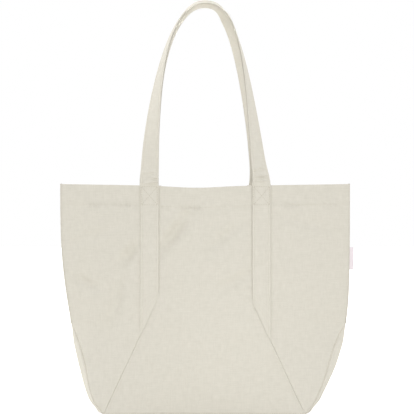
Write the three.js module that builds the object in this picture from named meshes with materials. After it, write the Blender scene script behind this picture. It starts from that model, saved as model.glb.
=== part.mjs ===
// Canvas shopper bag: a boxed-bottom tote with two long shoulder handles, standing on its base with its mouth ajar.
// Millimetres, +Z up. The origin is the middle of the base, on the surface that the bag stands on.
// +X is the right-hand side seen from the front, and the front faces -Y.
import * as THREE from "three";

const { lerp, clamp } = THREE.MathUtils;

// Bag body
const MOUTH_WIDTH = 500; // across the rim, from side seam to side seam
const MOUTH_DEPTH = 90; // front to back across the middle of the open mouth
const BODY_HEIGHT = 386; // from the base to the rim at the side seams
const RIM_DIP = 6.5; // sag of the rim midway between the handles
const BASE_WIDTH = 356;
const BASE_DEPTH = 150;
const CORNER_RADIUS = 8; // roundness of the creases beside the gussets
const GUSSET_HEIGHT = 150; // where each side gusset runs out into its side seam
const GUSSET_WIDTH = 472; // body width at that height
const GUSSET_BULGE = 13; // how far a gusset swells past its creases
const CANVAS = 1; // thickness of one layer of cloth
const CLEARANCE = 0.3; // gap between pieces that are sewn together

// Hem and handles
const HEM_DEPTH = 36;
const STRAP_WIDTH = 32;
const STRAP_THICKNESS = 3; // four layers of folded canvas
const STRAP_SPACING = 190; // between the middles of a handle's two legs
const STRAP_SEAM_HEIGHT = 194; // where a strap's inner edge runs into the diagonal seam
const HANDLE_RISE = 314; // from the top of the sewn strap to the top of the handle
const HANDLE_GAP = 2; // between the two handles where they lean together
const HANDLE_TWIST = 84; // degrees that a strap turns between the rim and the top

// Box stitching that ties each strap to the hem
const STITCH_INSET = 3; // from the strap's edges and from the rim
const THREAD_WIDTH = 1;
const THREAD_HEIGHT = 0.5;

// Blank woven label in the right side seam
const LABEL_WIDTH = 8;
const LABEL_HEIGHT = 38;
const LABEL_THICKNESS = 0.6;
const LABEL_CENTRE = 260; // height above the base

// Shape of the curves, with no unit
const FLARE = 0.25; // extra speed with which the body widens out of its base
const DEPTH_EASE = 1.3;
const GUSSET_EASE = 1.2;
const RIM_DIP_POWER = 6; // keeps the sag between the handles
const SIDE_EASE = 3; // how soon the side seams stand upright above the gussets
const ARCH_POWER = 1.43; // more makes the top of the handle narrower
const ARCH_SHOULDER = 0.8; // less makes the top of the handle squarer; both 1 make it half an ellipse
const LEAN_EASE = 0.7;
const TWIST_EASE = 1.6;
const CREASE_SHARE = 0.8; // most of a gusset's half depth that its crease may round off

// Facets of the curved sheets
const PANEL_COLUMNS = 14;
const PANEL_ROWS = 14;
const CREASE_COLUMN = 8; // column of a side panel that follows the crease
const HEM_ROWS = 2;
const STRAP_COLUMNS = 3;
const STRAP_ROWS = 8;
const HANDLE_STEPS = 36;
const CORNER_STEPS = 6;
const SLOPE_STEP = 0.05; // millimetres, for measuring slopes

// Values that follow from the sizes above
const seamHalf = CANVAS + CLEARANCE / 2; // half the thickness of a closed side seam
const strapInner = (STRAP_SPACING - STRAP_WIDTH) / 2;
const strapOuter = (STRAP_SPACING + STRAP_WIDTH) / 2;
const strapMiddle = STRAP_SPACING / 2;
const diagonalFoot = BASE_WIDTH / 2 - CORNER_RADIUS; // where the diagonal seam meets the base
const strapTop = rimHeight(strapMiddle);

// Materials
const canvas = new THREE.MeshStandardMaterial({ color: "#ddd9cd", roughness: 0.9, metalness: 0 });
const thread = new THREE.MeshStandardMaterial({ color: "#d3cebf", roughness: 0.7, metalness: 0 });
const satin = new THREE.MeshStandardMaterial({ color: "#efe6ea", roughness: 0.5, metalness: 0 });

// Height of the rim above the base, at distance x from the middle
function rimHeight(x) {
  return BODY_HEIGHT - RIM_DIP * (1 - (x / (MOUTH_WIDTH / 2)) ** 2) ** RIM_DIP_POWER;
}

// Half width of the front face: it flares out of the base, then eases into the mouth
function faceHalfWidth(z) {
  if (z < GUSSET_HEIGHT) {
    const share = z / GUSSET_HEIGHT;
    return lerp(BASE_WIDTH / 2, GUSSET_WIDTH / 2, share * (1 + FLARE * (1 - share)));
  }
  const share = (z - GUSSET_HEIGHT) / (BODY_HEIGHT - GUSSET_HEIGHT);
  return lerp(GUSSET_WIDTH / 2, MOUTH_WIDTH / 2, 1 - Math.max(0, 1 - share) ** SIDE_EASE);
}

// Half depth of the bag along its middle
function middleDepth(z) {
  return lerp(MOUTH_DEPTH / 2, BASE_DEPTH / 2, Math.max(0, 1 - z / BODY_HEIGHT) ** DEPTH_EASE);
}

// Half depth at the crease where the front face turns into the side gusset
function creaseDepth(z) {
  return lerp(seamHalf, BASE_DEPTH / 2, Math.max(0, 1 - z / GUSSET_HEIGHT) ** GUSSET_EASE);
}

// Outer face of the front: a shallow bow from crease to crease
function frontY(x, z) {
  const crease = creaseDepth(z);
  return -(crease + (middleDepth(z) - crease) * (1 - (x / faceHalfWidth(z)) ** 2));
}

// A point at a distance out of the front's outer face, or inside it where out is negative
function frontPoint(x, z, out) {
  const slopeX = (frontY(x + SLOPE_STEP, z) - frontY(x - SLOPE_STEP, z)) / (2 * SLOPE_STEP);
  const slopeZ = (frontY(x, z + SLOPE_STEP) - frontY(x, z - SLOPE_STEP)) / (2 * SLOPE_STEP);
  const outward = new THREE.Vector3(slopeX, -1, slopeZ).normalize();
  return new THREE.Vector3(x, frontY(x, z), z).addScaledVector(outward, out);
}

// Distance from the middle to the seam between the centre panel and a side panel:
// along the strap's inner edge, then down a diagonal to the corner of the base
function panelSeamX(z) {
  return lerp(diagonalFoot, strapInner, clamp(z / STRAP_SEAM_HEIGHT, 0, 1));
}

// Height of the diagonal seam at distance x from the middle
function diagonalHeight(x) {
  return (STRAP_SEAM_HEIGHT * (diagonalFoot - x)) / (diagonalFoot - strapInner);
}

// Level outline of a right-hand side panel: along the front face, round the crease and across half the gusset
function sideOutline(z) {
  const crease = new THREE.Vector2(faceHalfWidth(z), -creaseDepth(z));
  const radius = Math.min(CORNER_RADIUS, CREASE_SHARE * (creaseDepth(z) - CLEARANCE / 2));
  const start = panelSeamX(z) + CLEARANCE / 2;
  const end = Math.max(crease.x - radius, start + CLEARANCE);
  const face = [];
  for (let i = 0; i <= PANEL_COLUMNS; i++) {
    const x = lerp(start, end, i / PANEL_COLUMNS);
    face.push(new THREE.Vector2(x, frontY(x, z)));
  }
  const swell = crease.x + GUSSET_BULGE * Math.sin(Math.PI * clamp(z / GUSSET_HEIGHT, 0, 1));
  const outline = new THREE.Path(face);
  outline.quadraticCurveTo(crease.x, crease.y, crease.x, crease.y + radius);
  outline.quadraticCurveTo(swell, crease.y / 2, swell, -CLEARANCE / 2);
  return outline;
}

// Share of an outline's length that lies at a share of the panel's columns. Low down, one column follows the crease;
// towards the top of the gusset, the columns spread out evenly.
function columnShare(outline, share, z) {
  const lengths = outline.getCurveLengths();
  const [face, turn, whole] = lengths.slice(-3);
  const crease = (face + turn) / 2 / whole;
  const loose = clamp(2 * (z / GUSSET_HEIGHT) - 1, 0, 1);
  const column = lerp(CREASE_COLUMN / PANEL_COLUMNS, crease, loose ** 2);
  if (share < column) return (crease * share) / column;
  return lerp(crease, 1, (share - column) / (1 - column));
}

// A point of a right-hand side panel, from its inner seam (share 0) to the side seam (share 1)
function sidePoint(share, z, out) {
  const at = (s, height) => {
    const outline = sideOutline(height);
    const p = outline.getPoint(columnShare(outline, s, height));
    return new THREE.Vector3(p.x, p.y, height);
  };
  const step = 0.001;
  const along = at(Math.min(1, share + step), z).sub(at(Math.max(0, share - step), z));
  const up = at(share, z + SLOPE_STEP).sub(at(share, Math.max(0, z - SLOPE_STEP)));
  const outward = along.cross(up);
  if (share === 1) outward.set(1, 0, 0); // the edge that faces the other panel in the side seam
  return at(share, z).addScaledVector(outward.normalize(), out);
}

// A closed sheet between two grids of points, each a function of two shares from 0 to 1
function sheet(columns, rows, outer, inner) {
  const points = [];
  for (const face of [outer, inner]) {
    for (let r = 0; r <= rows; r++) {
      for (let c = 0; c <= columns; c++) points.push(face(c / columns, r / rows));
    }
  }
  const id = (layer, c, r) => (layer * (rows + 1) + r) * (columns + 1) + c;
  const index = [];
  const quad = (a, b, c, d) => index.push(a, b, c, a, c, d);
  for (let r = 0; r < rows; r++) {
    for (let c = 0; c < columns; c++) {
      quad(id(0, c, r), id(0, c + 1, r), id(0, c + 1, r + 1), id(0, c, r + 1));
      quad(id(1, c, r + 1), id(1, c + 1, r + 1), id(1, c + 1, r), id(1, c, r));
    }
    quad(id(1, 0, r), id(0, 0, r), id(0, 0, r + 1), id(1, 0, r + 1));
    quad(id(0, columns, r), id(1, columns, r), id(1, columns, r + 1), id(0, columns, r + 1));
  }
  for (let c = 0; c < columns; c++) {
    quad(id(1, c, 0), id(1, c + 1, 0), id(0, c + 1, 0), id(0, c, 0));
    quad(id(0, c, rows), id(0, c + 1, rows), id(1, c + 1, rows), id(1, c, rows));
  }
  return new THREE.BufferGeometry().setFromPoints(points).setIndex(index);
}

// The same sheet on the other side of the middle, with its faces turned back out
function mirrored(geometry) {
  const copy = geometry.clone().scale(-1, 1, 1);
  const index = copy.index.array;
  for (let i = 0; i < index.length; i += 3) [index[i + 1], index[i + 2]] = [index[i + 2], index[i + 1]];
  return copy;
}

// Centre panel, between the two panel seams
function centrePanel() {
  const wall = (out) => (u, v) => {
    const across = 2 * u - 1;
    const z = v * rimHeight(across * strapInner);
    return frontPoint(across * (panelSeamX(z) - CLEARANCE / 2), z, out);
  };
  return sheet(PANEL_COLUMNS, PANEL_ROWS, wall(0), wall(-CANVAS));
}

// Right-hand side panel, from the panel seam round to the side seam
function sidePanel() {
  const wall = (out) => (u, v) => sidePoint(u, v * rimHeight(lerp(strapInner, MOUTH_WIDTH / 2, u)), out);
  return sheet(PANEL_COLUMNS, PANEL_ROWS, wall(0), wall(-CANVAS));
}

// Top edge of one face turned in: a band behind the panels, short of the side seams
function hem() {
  const top = -(CANVAS + CLEARANCE);
  const room = CLEARANCE / 2 - top + CANVAS; // half depth that the band needs beside a side seam
  const band = (out) => (u, v) => {
    const across = 2 * u - 1;
    const z = rimHeight((across * MOUTH_WIDTH) / 2) - (1 - v) * HEM_DEPTH;
    const bow = (room - creaseDepth(z)) / (middleDepth(z) - creaseDepth(z));
    return frontPoint(across * (faceHalfWidth(z) * Math.sqrt(1 - bow) - CLEARANCE), z, out);
  };
  return sheet(2 * PANEL_COLUMNS, HEM_ROWS, band(top), band(top - CANVAS));
}

// Sewn leg of a strap, on the right-hand side panel, cut off along the diagonal seam
function sewnStrap() {
  const face = (out) => (u, v) => {
    const x = lerp(strapInner, strapOuter, u);
    return frontPoint(x, lerp(diagonalHeight(x), strapTop, v), out);
  };
  return sheet(STRAP_COLUMNS, STRAP_ROWS, face(CLEARANCE + STRAP_THICKNESS), face(CLEARANCE));
}

// Free loop of a handle. Its middle line is x = -X cos a and rise = R sin a, each to a power of its own, for a from
// 0 to 180 degrees.
// The strap leaves the rim with the same slant as its sewn legs, and turns until it lies flat across the top.
function handleLoop() {
  const seat = frontPoint(strapMiddle, strapTop, 0);
  const root = frontPoint(strapMiddle, strapTop, CLEARANCE + STRAP_THICKNESS / 2);
  const footTwist = Math.atan2(root.x - seat.x, seat.y - root.y);
  const topTwist = THREE.MathUtils.degToRad(HANDLE_TWIST);
  const topY = -(STRAP_WIDTH + HANDLE_GAP) / 2;
  const foot = strapTop + CLEARANCE;
  const reach = HANDLE_RISE - CLEARANCE - STRAP_THICKNESS / 2;
  const rise = (share) => Math.sin(Math.PI * clamp(share, 0, 1)) ** ARCH_POWER;
  const middle = (share) => {
    const turn = Math.cos(Math.PI * share);
    const x = -root.x * Math.sign(turn) * Math.abs(turn) ** ARCH_SHOULDER;
    return new THREE.Vector3(x, lerp(root.y, topY, rise(share) ** LEAN_EASE), foot + reach * rise(share));
  };
  const face = (out) => (u, v) => {
    const step = 0.25 / HANDLE_STEPS;
    const end = v === 0 || v === 1;
    const along = end
      ? new THREE.Vector3(0, 0, v === 0 ? 1 : -1)
      : middle(v + step).sub(middle(v - step)).normalize();
    const outside = new THREE.Vector3(-along.z, 0, along.x).normalize(); // away from the loop's opening
    const twist = lerp(topTwist, footTwist, (1 - rise(v)) ** TWIST_EASE);
    const normal = new THREE.Vector3(0, -Math.cos(twist), 0).addScaledVector(outside, Math.sin(twist));
    const across = new THREE.Vector3().crossVectors(along, normal).normalize();
    normal.crossVectors(across, along);
    return middle(v)
      .addScaledVector(across, (u - 0.5) * STRAP_WIDTH)
      .addScaledVector(normal, out);
  };
  return sheet(STRAP_COLUMNS, HANDLE_STEPS, face(STRAP_THICKNESS / 2), face(-STRAP_THICKNESS / 2));
}

// Box and cross of thread over a strap and the hem behind it, draped on the strap's outer face
function boxStitch() {
  const width = STRAP_WIDTH - 2 * STITCH_INSET;
  const height = HEM_DEPTH - 2 * STITCH_INSET;
  const box = new THREE.Shape();
  box.moveTo(-width / 2, -height / 2);
  box.lineTo(width / 2, -height / 2);
  box.lineTo(width / 2, height / 2);
  box.lineTo(-width / 2, height / 2);
  const w = width / 2 - THREAD_WIDTH;
  const h = height / 2 - THREAD_WIDTH;
  const diagonal = Math.hypot(w, h);
  const trimX = (THREAD_WIDTH / 2) * (diagonal / h); // where a cross thread meets the level sides
  const trimY = (THREAD_WIDTH / 2) * (diagonal / w);
  for (const side of [1, -1]) {
    const level = [[-(w - trimX), side * h], [0, side * trimY], [w - trimX, side * h]];
    const upright = [[side * w, h - trimY], [side * trimX, 0], [side * w, trimY - h]];
    for (const corners of [level, upright]) {
      box.holes.push(new THREE.Path(corners.map(([x, y]) => new THREE.Vector2(x, y))));
    }
  }
  const geometry = new THREE.ExtrudeGeometry(box, { depth: THREAD_HEIGHT, bevelEnabled: false });
  const position = geometry.getAttribute("position");
  const seat = CLEARANCE + STRAP_THICKNESS + CLEARANCE;
  const centre = strapTop - HEM_DEPTH / 2;
  for (let i = 0; i < position.count; i++) {
    const p = frontPoint(strapMiddle + position.getX(i), centre + position.getY(i), seat + position.getZ(i));
    position.setXYZ(i, p.x, p.y, p.z);
  }
  return geometry;
}

// Flat base, inside the feet of the walls, with its corners cut clear of the creases
function basePanel() {
  const inset = CANVAS + 2 * CLEARANCE;
  const x = BASE_WIDTH / 2 - inset;
  const y = BASE_DEPTH / 2 - inset;
  const r = CORNER_RADIUS + 6 * CANVAS;
  const outline = new THREE.Shape();
  outline.moveTo(x - r, -y);
  outline.absarc(x - r, r - y, r, -Math.PI / 2, 0);
  outline.absarc(x - r, y - r, r, 0, Math.PI / 2);
  outline.absarc(r - x, y - r, r, Math.PI / 2, Math.PI);
  outline.absarc(r - x, r - y, r, Math.PI, 1.5 * Math.PI);
  return new THREE.ExtrudeGeometry(outline, {
    depth: CANVAS,
    bevelEnabled: false,
    curveSegments: CORNER_STEPS,
  });
}

function piece(name, geometry, material) {
  const mesh = new THREE.Mesh(geometry, material);
  mesh.name = name;
  return mesh;
}

// One half of the bag, front or back. Its own left and right are named as seen from the bag's front.
function half(name, left, right) {
  const group = new THREE.Group();
  const side = sidePanel();
  const strap = sewnStrap();
  const stitch = boxStitch();
  group.add(
    piece(`${name}_centre_panel`, centrePanel(), canvas),
    piece(`${name}_${right}_panel`, side, canvas),
    piece(`${name}_${left}_panel`, mirrored(side), canvas),
    piece(`${name}_hem`, hem(), canvas),
    piece(`${name}_${right}_strap`, strap, canvas),
    piece(`${name}_${left}_strap`, mirrored(strap), canvas),
    piece(`${name}_handle`, handleLoop(), canvas),
  );
  for (const [label, sign] of [[right, 1], [left, -1]]) {
    const mesh = piece(`${name}_${label}_box_stitch`, stitch, thread);
    mesh.scale.x = sign;
    group.add(mesh);
  }
  return group;
}

// Blank label, held at its edge in the right side seam and lying along the seam's slope
function sideLabel() {
  const holder = new THREE.Group();
  const below = faceHalfWidth(LABEL_CENTRE - LABEL_HEIGHT / 2);
  const above = faceHalfWidth(LABEL_CENTRE + LABEL_HEIGHT / 2);
  holder.position.set(faceHalfWidth(LABEL_CENTRE), 0, LABEL_CENTRE);
  holder.rotation.y = Math.atan2(above - below, LABEL_HEIGHT);
  const tab = new THREE.BoxGeometry(LABEL_WIDTH, LABEL_THICKNESS, LABEL_HEIGHT);
  const mesh = piece("side_label", tab, satin);
  mesh.position.x = CLEARANCE + LABEL_WIDTH / 2;
  holder.add(mesh);
  return holder;
}

const bag = new THREE.Group();
const front = half("front", "left", "right");
const back = half("back", "right", "left");
back.rotation.z = Math.PI;
bag.add(front, back, piece("base_panel", basePanel(), canvas), sideLabel());

export default bag;
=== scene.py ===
"""Looks of a canvas shopper bag.

It has sewn panels on a boxed base, two folded straps, their stitches and a blank label. All is in metres, in
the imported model's own frame: +Z is up, the front faces -Y and +X is the right-hand side seen from the front.
"""

import logging
import math
from abc import ABC, abstractmethod
from collections.abc import Callable
from dataclasses import dataclass, field
from enum import IntEnum

import bpy
import numpy as np
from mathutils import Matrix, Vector


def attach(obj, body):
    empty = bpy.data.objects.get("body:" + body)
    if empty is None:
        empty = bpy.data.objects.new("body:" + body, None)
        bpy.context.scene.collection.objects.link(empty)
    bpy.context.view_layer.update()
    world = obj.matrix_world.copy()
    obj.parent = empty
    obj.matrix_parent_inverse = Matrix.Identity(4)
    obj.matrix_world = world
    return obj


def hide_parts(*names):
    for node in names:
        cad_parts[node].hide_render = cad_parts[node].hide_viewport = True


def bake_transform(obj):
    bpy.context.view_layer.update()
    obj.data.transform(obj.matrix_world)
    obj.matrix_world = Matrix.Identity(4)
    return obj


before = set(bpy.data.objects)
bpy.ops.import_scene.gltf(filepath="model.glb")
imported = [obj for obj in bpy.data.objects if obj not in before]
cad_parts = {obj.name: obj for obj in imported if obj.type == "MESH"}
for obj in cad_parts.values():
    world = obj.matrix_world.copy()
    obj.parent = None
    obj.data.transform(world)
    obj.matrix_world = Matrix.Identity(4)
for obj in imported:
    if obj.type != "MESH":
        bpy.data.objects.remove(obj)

MM = 0.001
CLOTH_MAP = "cloth"  # name of the UV map that holds each point's place on the flat cloth, in metres
WHITE = (1.0, 1.0, 1.0, 1.0)
LOG = logging.getLogger("shopper_bag")
Array = np.ndarray
Material = bpy.types.Material
Object = bpy.types.Object
Socket = bpy.types.NodeSocket
Tree = bpy.types.NodeTree


class Half(IntEnum):
    """One half of the bag, as the sign of a coordinate."""

    @property
    def word(self) -> str:
        """The half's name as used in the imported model's nodes."""
        return self.name.lower()


class Face(Half):
    """Face of the bag that a piece lies on, as the sign of its y."""

    FRONT = -1
    BACK = 1


class Side(Half):
    """Side of the bag seen from its front, as the sign of its x."""

    LEFT = -1
    RIGHT = 1


# Small helpers


def lerp(start: Array, end: Array, share: Array) -> Array:
    """The value at a share of the way from start to end."""
    return start + (end - start) * share


def smoothstep(share: Array) -> Array:
    """A share from 0 to 1 that starts and ends slowly."""
    held = np.clip(share, 0.0, 1.0)
    return held * held * (3.0 - 2.0 * held)


def bell(distance: Array, width: float) -> Array:
    """A bell curve, 1 at distance 0."""
    return np.exp(-((distance / width) ** 2))


def unit(vectors: Array) -> Array:
    """The vectors of the last axis, each made one long."""
    return vectors / np.linalg.norm(vectors, axis=-1, keepdims=True)


def together(*parts: Array | float) -> Array:
    """Vectors along a new last axis, from parts that are stretched to one shape."""
    return np.stack(np.broadcast_arrays(*parts), axis=-1)


def sign_of(x: Array) -> Array:
    """-1 on the left of the bag's middle and 1 on the right of it."""
    return np.where(x < 0.0, float(Side.LEFT), float(Side.RIGHT))


def run_along(points: Array) -> Array:
    """Distance of each point from the first one, measured along the points."""
    return np.concatenate(([0.0], np.cumsum(np.linalg.norm(np.diff(points, axis=0), axis=1))))


def along_line(places: Array, run: Array, values: Array) -> Array:
    """Vectors at places along a line, from its run and the vectors at its points."""
    return together(*(np.interp(places, run, column) for column in values.T))


def section_places(steps: tuple[int, ...]) -> Array:
    """Places along the stretches of a level section, each one long and cut into its own number of steps."""
    return np.concatenate([start + np.arange(1, count + 1) / count for start, count in enumerate(steps)])


def linear_colour(code: str) -> tuple[float, float, float, float]:
    """Turns an sRGB hex colour into the linear colour that shaders take.

    Args:
        code: the colour as "#rrggbb".

    Returns:
        Linear red, green, blue and an alpha of 1.
    """
    knee, slope, offset, power = 0.04045, 12.92, 0.055, 2.4  # of the sRGB standard's curve
    channels = np.array([int(code[i : i + 2], 16) for i in (1, 3, 5)]) / 255.0
    linear = np.where(channels <= knee, channels / slope, ((channels + offset) / (1.0 + offset)) ** power)
    return (*linear.tolist(), 1.0)


def grid_quads(rows: int, columns: int, closed: bool = False) -> Array:
    """Four-cornered faces of a grid of points, which face along columns crossed with rows.

    Args:
        rows: number of rows of points.
        columns: number of columns of points.
        closed: whether the last column joins the first.

    Returns:
        One line of four point numbers for each face.
    """
    numbers = np.arange(rows * columns).reshape(rows, columns)
    if closed:
        numbers = np.concatenate((numbers, numbers[:, :1]), axis=1)
    corners = (numbers[:-1, :-1], numbers[:-1, 1:], numbers[1:, 1:], numbers[1:, :-1])
    return together(*corners).reshape(-1, 4)


def make_object(name: str, points: Array, faces: list[Array], cloth: Array | None = None) -> Object:
    """Makes a smooth-shaded mesh object at the origin.

    Args:
        name: name of the object.
        points: x, y and z of each point, along the last axis.
        faces: blocks of faces, each block with as many corners in every line.
        cloth: place of each point on the flat cloth, in metres, along the last axis.

    Returns:
        The new object, linked to the scene.
    """
    points = points.reshape(-1, 3)
    corners = np.concatenate([block.ravel() for block in faces])
    sizes = np.concatenate([np.full(len(block), block.shape[1]) for block in faces])
    mesh = bpy.data.meshes.new(name)
    mesh.vertices.add(len(points))
    mesh.vertices.foreach_set("co", points.astype(np.float32).ravel())
    mesh.loops.add(len(corners))
    mesh.loops.foreach_set("vertex_index", corners.astype(np.int32))
    mesh.polygons.add(len(sizes))
    mesh.polygons.foreach_set("loop_start", (np.cumsum(sizes) - sizes).astype(np.int32))
    mesh.polygons.foreach_set("loop_total", sizes.astype(np.int32))
    mesh.polygons.foreach_set("use_smooth", np.ones(len(sizes), dtype=bool))
    if cloth is not None:
        layer = mesh.uv_layers.new(name=CLOTH_MAP)
        layer.data.foreach_set("uv", cloth.reshape(-1, 2)[corners].astype(np.float32).ravel())
    mesh.update(calc_edges=True)
    mesh.validate()
    obj = bpy.data.objects.new(name, mesh)
    bpy.context.scene.collection.objects.link(obj)
    return obj


def dress(obj: Object, material: Material) -> None:
    """Gives a piece its material, and logs its size."""
    obj.data.materials.append(material)
    LOG.info("%s: %d points, %d faces", obj.name, len(obj.data.vertices), len(obj.data.polygons))


def thicken(obj: Object, thickness: float) -> None:
    """Gives a sheet of cloth its thickness, inwards from its outer face."""
    layer = obj.modifiers.new("cloth thickness", "SOLIDIFY")
    layer.thickness = thickness
    layer.offset = -1.0


# Shape of the bag


@dataclass(frozen=True)
class BagShape:
    """Smooth outer surface of the bag's body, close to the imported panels.

    A level section of a quarter of the bag is followed by t: 0 to 1 across the face, 1 to 2 round the crease,
    2 to 3 across half the gusset, 3 to 4 round the fold of the side seam and 4 to 5 along its allowance.
    """

    mouth_width: float = 497.5 * MM
    mouth_depth: float = 90 * MM
    height: float = 388.2 * MM
    rim_dip: float = 4.6 * MM  # of the straight run from the side seams to the middle
    rim_sag: float = 2.6 * MM  # further sag between the straps
    rim_low: float = -18 * MM  # where the rim hangs lowest
    rim_spread: float = 55 * MM
    rim_round: float = 20 * MM
    base_width: float = 344 * MM
    base_depth: float = 150 * MM
    gusset_height: float = 150 * MM
    gusset_width: float = 472 * MM
    gusset_bulge: float = 11.7 * MM
    bulge_top: float = 104 * MM  # height where the gusset's bulge starts to run out
    bulge_fade: float = 56 * MM
    belly: float = 1.8 * MM  # what the gusset's middle stands out beyond that
    belly_height: float = 84 * MM
    belly_spread: float = 24 * MM
    corner_puff: float = 7.5 * MM  # how far the sides stand out just above the base's corners
    puff_rise: float = 22 * MM
    puff_top: float = 38 * MM
    puff_fall: float = 75 * MM
    crease_radius: float = 3 * MM
    canvas: float = 1 * MM
    seam_half: float = 1.15 * MM
    seam_fold: float = 0.8 * MM
    seam_gap: float = 0.1 * MM
    allowance: float = 9 * MM
    strap_width: float = 31.5 * MM
    strap_spacing: float = 190 * MM
    strap_overlap: float = 3.4 * MM  # how far a strap's inner edge covers the panel seam under it
    strap_seam_height: float = 186 * MM
    diagonal_foot: float = 169.5 * MM
    sway: float = 6 * MM  # how far both sides lean to the right
    sway_top: float = 1.3 * MM  # what is left of that lean at the rim
    sway_rise: float = 0.5  # share of the gusset's height over which the lean comes in
    sway_height: float = 140 * MM
    sway_spread: float = 100 * MM
    skew: float = 2 * MM  # how much less the creases lean than the side seams
    skew_height: float = 105 * MM
    skew_spread: float = 40 * MM
    depth_ease: float = 1.3
    gusset_ease: float = 1.2
    side_ease: float = 3.0
    crease_share: float = 0.45  # most of the gusset's half depth that the crease may round off
    slope_step: float = 0.1 * MM
    slope_share: float = 0.001

    @property
    def strap_inner(self) -> float:
        """Distance from the middle to a strap's inner edge."""
        return (self.strap_spacing - self.strap_width) / 2

    @property
    def seam_top(self) -> float:
        """Distance from the middle to the panel seam under a strap."""
        return self.strap_inner + self.strap_overlap

    @property
    def diagonal_lean(self) -> float:
        """Level length that one metre across the diagonal seam takes up."""
        return math.hypot(1.0, (self.diagonal_foot - self.seam_top) / self.strap_seam_height)

    def rim(self, x: Array) -> Array:
        """Height of the rim at distance x from the middle."""
        inside = np.clip(1.0 - np.hypot(x, self.rim_round) / (self.mouth_width / 2), 0.0, 1.0)
        return self.height - self.rim_dip * inside - self.rim_sag * bell(x - self.rim_low, self.rim_spread)

    def half_width(self, z: Array, side: Array) -> Array:
        """Distance from the middle to the crease beside the gusset, or to the side seam above it."""
        low = np.clip(z / self.gusset_height, 0.0, 1.0)
        high = np.clip((z - self.gusset_height) / (self.height - self.gusset_height), 0.0, 1.0)
        below = lerp(self.base_width / 2, self.gusset_width / 2, low)
        puff = smoothstep(z / self.puff_rise) * (1.0 - smoothstep((z - self.puff_top) / self.puff_fall))
        above = (self.mouth_width - self.gusset_width) / 2 * (1.0 - (1.0 - high) ** self.side_ease)
        lean = self.sway_top + self.sway * bell(z - self.sway_height, self.sway_spread)
        lean = lean * smoothstep(low / self.sway_rise)
        return below + above + self.corner_puff * puff + side * (lean - self.skew_at(z))

    def skew_at(self, z: Array) -> Array:
        """How much less the crease leans than the side seam at a height."""
        return self.skew * bell(z - self.skew_height, self.skew_spread)

    def middle_depth(self, z: Array) -> Array:
        """Half depth of the bag along its middle."""
        share = np.clip(1.0 - z / self.height, 0.0, None) ** self.depth_ease
        return lerp(self.mouth_depth / 2, self.base_depth / 2, share)

    def crease_depth(self, z: Array) -> Array:
        """Half depth at the crease where the face turns into the gusset."""
        share = np.clip(1.0 - z / self.gusset_height, 0.0, None) ** self.gusset_ease
        return lerp(self.seam_half, self.base_depth / 2, share)

    def crease_round(self, z: Array) -> Array:
        """Radius of the crease, which gets smaller as the gusset runs out."""
        room = self.crease_depth(z) - self.seam_gap - self.seam_fold
        return np.minimum(self.crease_radius, self.crease_share * room)

    def seam_x(self, z: Array) -> Array:
        """Distance from the middle to the seam along the strap's inner edge and down its diagonal."""
        return lerp(self.diagonal_foot, self.seam_top, np.clip(z / self.strap_seam_height, 0.0, 1.0))

    def diagonal_height(self, x: Array) -> Array:
        """Height of the diagonal seam at distance x from the middle."""
        return self.strap_seam_height * (self.diagonal_foot - x) / (self.diagonal_foot - self.seam_top)

    def face_end(self, z: Array, side: Array) -> Array:
        """Distance from the middle to where the face starts to round into the crease."""
        return self.half_width(z, side) - self.crease_round(z)

    def outline(self, t: Array, z: Array, side: Array) -> tuple[Array, Array]:
        """Level section of a quarter of the bag.

        The face is a shallow parabola from the middle to the crease. The crease is a quadratic curve about
        the corner, and the gusset a quadratic curve that swells outwards on its way to the side seam.

        Args:
            t: place along the section, from 0 to 5.
            z: height.
            side: sign of the side, which leans with the sway.

        Returns:
            Distance from the middle and half depth.
        """
        corner, crease, radius = self.half_width(z, side), self.crease_depth(z), self.crease_round(z)
        swell = self.gusset_bulge * (1.0 - smoothstep((z - self.bulge_top) / self.bulge_fade))
        swell = swell + self.belly * bell(z - self.belly_height, self.belly_spread) + side * self.skew_at(z)
        last = self.seam_gap + self.seam_fold
        skip = radius / (2.0 * np.hypot(swell, crease / 2))
        turn, across, fold, fin = (np.clip(t - start, 0.0, 1.0) for start in (1.0, 2.0, 3.0, 4.0))

        def face_depth(x: Array) -> Array:
            """Half depth of the face's parabola."""
            return crease + (self.middle_depth(z) - crease) * (1.0 - (x / corner) ** 2)

        def gusset(share: Array) -> tuple[Array, Array]:
            """The gusset's curve from the crease's corner to the side seam."""
            return corner + swell * share * (2.0 - share), crease * (1.0 - share) + last * share**2

        start_x = corner - radius
        face_x = np.clip(t, 0.0, 1.0) * start_x
        end_x, end_depth = gusset(skip)
        first, second, third = (1.0 - turn) ** 2, 2.0 * turn * (1.0 - turn), turn**2
        turn_x = first * start_x + second * corner + third * end_x
        turn_depth = first * face_depth(start_x) + second * crease + third * end_depth
        gusset_x, gusset_depth = gusset(lerp(skip, 1.0, across))
        angle = fold * np.pi / 2
        fold_x = corner + swell - self.seam_fold * (1.0 - np.cos(angle)) - self.allowance * fin
        fold_depth = last - self.seam_fold * np.sin(angle)
        parts = [t <= 1.0, t <= 2.0, t <= 3.0]
        x = np.select(parts, [face_x, turn_x, gusset_x], fold_x)
        depth = np.select(parts, [face_depth(face_x), turn_depth, gusset_depth], fold_depth)
        return x, depth

    def point(self, t: Array, z: Array, side: Array, face: Face, out: Array) -> Array:
        """Points at a distance out of the smooth surface.

        Args:
            t: place along the level section.
            z: height.
            side: sign of the side.
            face: front or back.
            out: distance along the outward direction; negative is inside the bag.

        Returns:
            One x, y and z for each place.
        """
        t, z, side, out = np.broadcast_arrays(t, z, side, out)

        def at(place: Array, height: Array) -> Array:
            """The smooth surface on the right of the front."""
            x, depth = self.outline(place, height, side)
            return together(x, -depth, height)

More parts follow.
